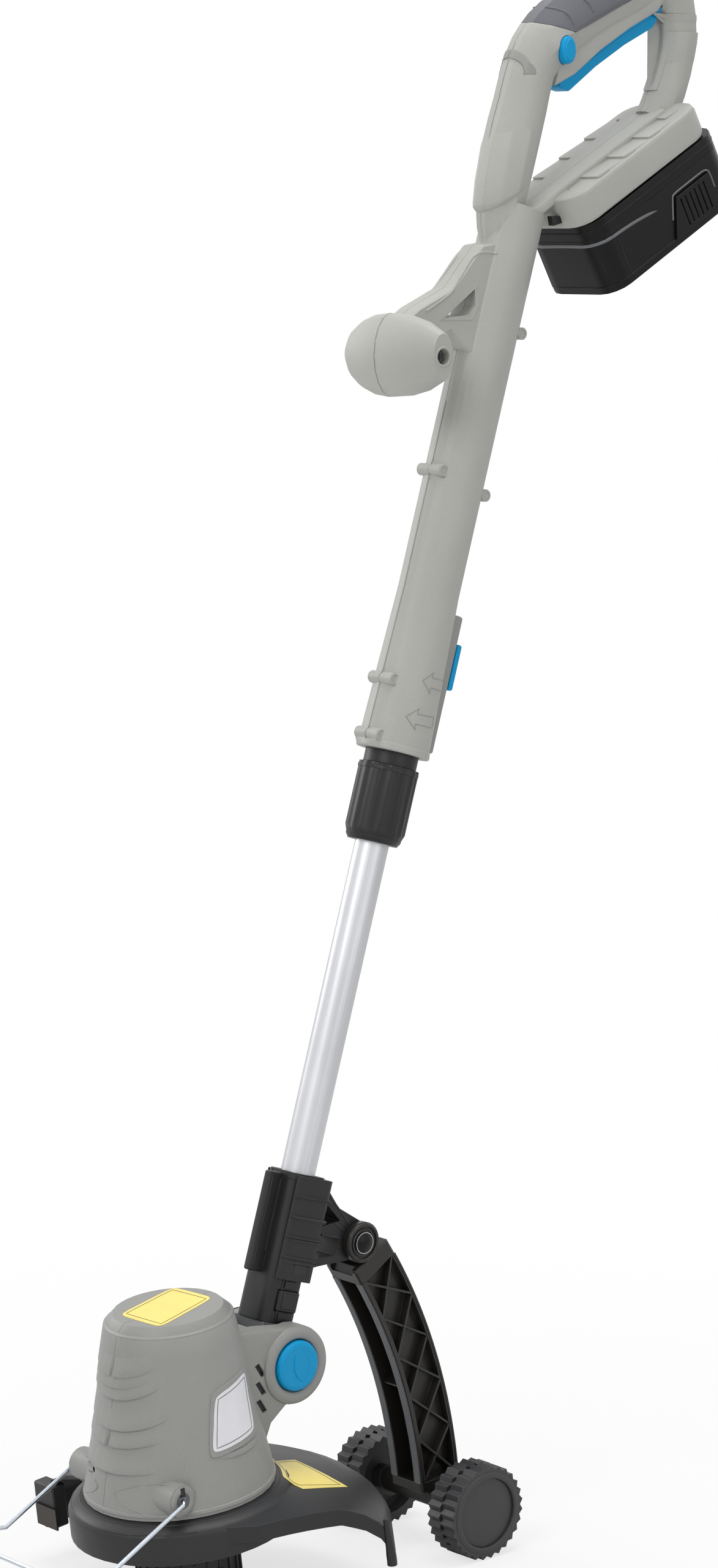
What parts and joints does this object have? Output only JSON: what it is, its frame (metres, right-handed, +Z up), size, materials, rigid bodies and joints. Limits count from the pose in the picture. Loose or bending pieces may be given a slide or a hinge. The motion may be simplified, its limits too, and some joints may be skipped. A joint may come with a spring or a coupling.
{
  "type": "cordless string trimmer",
  "caption": "Battery string trimmer with a D-handle, front knob, telescopic shaft, tilting motor head, guard, wire guard and folding wheel support.",
  "frame": {"origin": "centre of the flat foot of the spool cap, on the spool's axis", "axes": "+Z up, -Y towards the wire guard in front, +Y towards the user, X = 0 is the middle plane; the tilt button is on +X"},
  "size_m": [0.2602, 0.6572, 1.1668],
  "materials": {
    "light_plastic": "light grey, fine spark-eroded grain",
    "mid_plastic": "mid grey, fine grain",
    "dark_plastic": "dark grey, fine grain",
    "black_plastic": "black, fine grain",
    "guard_plastic": "black, semi-matt",
    "leg_plastic": "black, semi-matt, glass filled",
    "wheel_plastic": "black, semi-matt",
    "battery_plastic": "black, light sheen",
    "soft_grip": "dark grey soft-touch overmould",
    "blue_plastic": "blue, satin",
    "tube_alloy": "satin anodised",
    "screw_steel": "zinc plated",
    "pin_steel": "turned steel",
    "wire_steel": "zinc plated wire",
    "blade_steel": "stamped steel",
    "motor_can": "plated can",
    "cell_can": "plastic sleeve on a metal can",
    "cutting_line": "clear nylon line"
  },
  "bodies": {
    "handle": {"housing_left": "light_plastic", "housing_right": "light_plastic", "housing_screw_1": "screw_steel", "housing_screw_2": "screw_steel", "housing_screw_3": "screw_steel", "housing_screw_4": "screw_steel", "housing_screw_5": "screw_steel", "knob_screw": "screw_steel", "grip_cover": "soft_grip", "trigger_pin": "screw_steel", "trigger_spring": "screw_steel", "switch": "black_plastic", "lock_plate": "mid_plastic", "terminal_block": "black_plastic"},
    "shaft_turn": {"shaft_neck": "black_plastic", "clamp_ring": "black_plastic"},
    "collar": {"collar_nut": "black_plastic"},
    "lower_shaft": {"inner_tube": "tube_alloy", "lower_sleeve": "black_plastic", "knuckle": "dark_plastic"},
    "head": {"motor_housing_left": "mid_plastic", "motor_housing_right": "mid_plastic", "head_screw_1": "screw_steel", "head_screw_2": "screw_steel", "hinge_pin": "pin_steel", "motor": "motor_can", "guard": "guard_plastic", "guard_screw_left": "screw_steel", "guard_screw_right": "screw_steel", "line_cutter": "blade_steel"},
    "tilt_lock": {"tilt_button": "blue_plastic"},
    "spool_body": {"motor_shaft": "pin_steel", "spool_driver": "dark_plastic", "spool": "dark_plastic", "line_winding": "cutting_line", "spool_cap": "black_plastic"},
    "wire_bow": {"wire_guard": "wire_steel"},
    "bracket": {"wheel_bracket": "black_plastic"},
    "bracket_lock": {"push_button": "black_plastic"},
    "leg_body": {"leg": "leg_plastic", "pivot_pin": "pin_steel", "axle": "pin_steel"},
    "wheel_l": {"wheel_left": "wheel_plastic"},
    "wheel_r": {"wheel_right": "wheel_plastic"},
    "trigger_body": {"trigger": "blue_plastic"},
    "lock_off": {"lock_off_button": "blue_plastic"},
    "rotation_slide": {"lock_slider": "blue_plastic"},
    "battery": {"battery_case": "battery_plastic", "battery_lid": "battery_plastic", "cell_1": "cell_can", "cell_2": "cell_can", "cell_3": "cell_can", "cell_4": "cell_can", "cell_5": "cell_can"},
    "latch_l": {"latch_button_left": "battery_plastic"},
    "latch_r": {"latch_button_right": "battery_plastic"}
  },
  "joints": [
    {"name": "shaft_rotation", "type": "hinge", "parent": "handle", "child": "shaft_turn", "pos_m": [0, 0.05992, 0.16577], "axis": [0, 0.289, 0.9573], "range_deg": [0, 180]},
    {"name": "collar_twist", "type": "hinge", "parent": "shaft_turn", "child": "collar", "pos_m": [0, 0.05992, 0.16577], "axis": [0, 0.289, 0.9573], "range_deg": [0, 60]},
    {"name": "tube_extend", "type": "slide", "parent": "shaft_turn", "child": "lower_shaft", "axis": [0, -0.289, -0.9573], "range_m": [0, 0.14]},
    {"name": "head_tilt", "type": "hinge", "parent": "lower_shaft", "child": "head", "pos_m": [0, 0.06758, 0.16345], "axis": [1, 0, 0], "range_deg": [-12, 24]},
    {"name": "tilt_button_press", "type": "slide", "parent": "head", "child": "tilt_lock", "axis": [-1, 0, 0], "range_m": [0, 0.003], "stiffness_N_per_m": 1200},
    {"name": "spool_spin", "type": "hinge", "parent": "head", "child": "spool_body", "pos_m": [0, 0, 0], "axis": [0, -0.1219, 0.9925], "continuous": true},
    {"name": "wire_fold", "type": "hinge", "parent": "head", "child": "wire_bow", "pos_m": [0, -0.053, 0.09525], "axis": [-1, 0, 0], "range_deg": [0, 95]},
    {"name": "bracket_slide", "type": "slide", "parent": "lower_shaft", "child": "bracket", "axis": [0, 0.289, 0.9573], "range_m": [0, 0.06]},
    {"name": "bracket_button_press", "type": "slide", "parent": "lower_shaft", "child": "bracket_lock", "axis": [-1, 0, 0], "range_m": [0, 0.002], "stiffness_N_per_m": 1000},
    {"name": "leg_swing", "type": "hinge", "parent": "bracket", "child": "leg_body", "pos_m": [0, 0.14491, 0.23621], "axis": [1, 0, 0], "range_deg": [-4, 45]},
    {"name": "wheel_spin_left", "type": "hinge", "parent": "leg_body", "child": "wheel_l", "pos_m": [0, 0.2215, 0.03049], "axis": [1, 0, 0], "continuous": true},
    {"name": "wheel_spin_right", "type": "hinge", "parent": "leg_body", "child": "wheel_r", "pos_m": [0, 0.2215, 0.03049], "axis": [1, 0, 0], "continuous": true},
    {"name": "trigger_pull", "type": "hinge", "parent": "handle", "child": "trigger_body", "pos_m": [0, 0.43497, 1.12799], "axis": [-1, 0, 0], "range_deg": [0, 5], "stiffness_Nm_per_rad": 4, "springref_deg": -2.86},
    {"name": "lock_off_press", "type": "slide", "parent": "handle", "child": "lock_off", "axis": [-1, 0, 0], "range_m": [0, 0.003], "stiffness_N_per_m": 800},
    {"name": "rotation_slide_pull", "type": "slide", "parent": "handle", "child": "rotation_slide", "axis": [0, -0.289, -0.9573], "range_m": [0, 0.008], "stiffness_N_per_m": 300, "springref_m": -0.002},
    {"name": "battery_pull", "type": "slide", "parent": "handle", "child": "battery", "axis": [0, 0.8704, 0.4924], "range_m": [0, 0.16]},
    {"name": "latch_press_left", "type": "slide", "parent": "battery", "child": "latch_l", "axis": [1, 0, 0], "range_m": [0, 0.003], "stiffness_N_per_m": 800},
    {"name": "latch_press_right", "type": "slide", "parent": "battery", "child": "latch_r", "axis": [-1, 0, 0], "range_m": [0, 0.003], "stiffness_N_per_m": 800}
  ]
}
